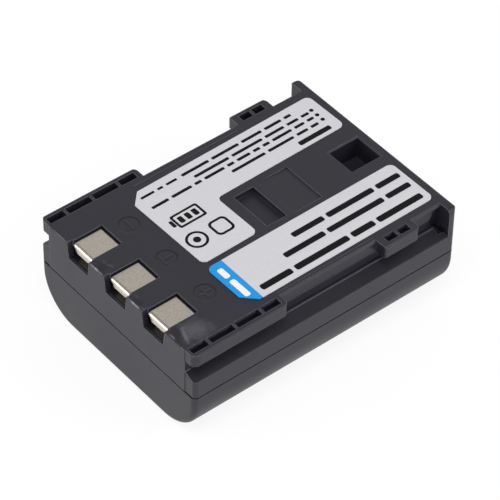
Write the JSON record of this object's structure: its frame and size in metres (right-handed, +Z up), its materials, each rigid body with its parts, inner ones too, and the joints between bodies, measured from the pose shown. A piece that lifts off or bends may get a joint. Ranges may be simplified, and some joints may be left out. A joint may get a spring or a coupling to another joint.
{
  "type": "camera battery",
  "caption": "Slide-in rechargeable camera battery: flat cells and a protection board in a moulded tray and cover with side rails, overhanging lugs, a latch pocket and folded metal terminals.",
  "frame": {"origin": "middle of the flat underside", "axes": "+X from the contact end to the latch end, +Y across the pack towards the positive terminal, +Z up to the label face"},
  "size_m": [0.0452, 0.0334, 0.0161],
  "materials": {
    "case_plastic": "fine moulded texture",
    "terminal_metal": "satin nickel plate",
    "label_vinyl": "satin silver sticker",
    "cell_can": "drawn can",
    "adhesive_foam": "matt foam tape",
    "insulating_paper": "matt fibre paper",
    "lead_nickel": "rolled strip",
    "board_laminate": "solder mask",
    "chip_epoxy": "moulded",
    "chip_ceramic": "fired ceramic"
  },
  "bodies": {
    "root": {"upper_case": "case_plastic", "lower_case": "case_plastic", "positive_terminal": "terminal_metal", "sense_terminal": "terminal_metal", "negative_terminal": "terminal_metal", "notched_label": "label_vinyl", "long_label": "label_vinyl", "lower_cell": "cell_can", "upper_cell": "cell_can", "base_pad": "adhesive_foam", "cell_spacer": "adhesive_foam", "lower_cell_insulator": "insulating_paper", "upper_cell_insulator": "insulating_paper", "negative_lead": "lead_nickel", "series_link": "lead_nickel", "positive_lead": "lead_nickel", "board_insulator": "insulating_paper", "protection_board": "board_laminate", "protection_chip": "chip_epoxy", "switch_transistors": "chip_epoxy", "thermistor": "chip_ceramic", "chip_resistors": "chip_ceramic", "chip_capacitors": "chip_ceramic"}
  },
  "joints": []
}
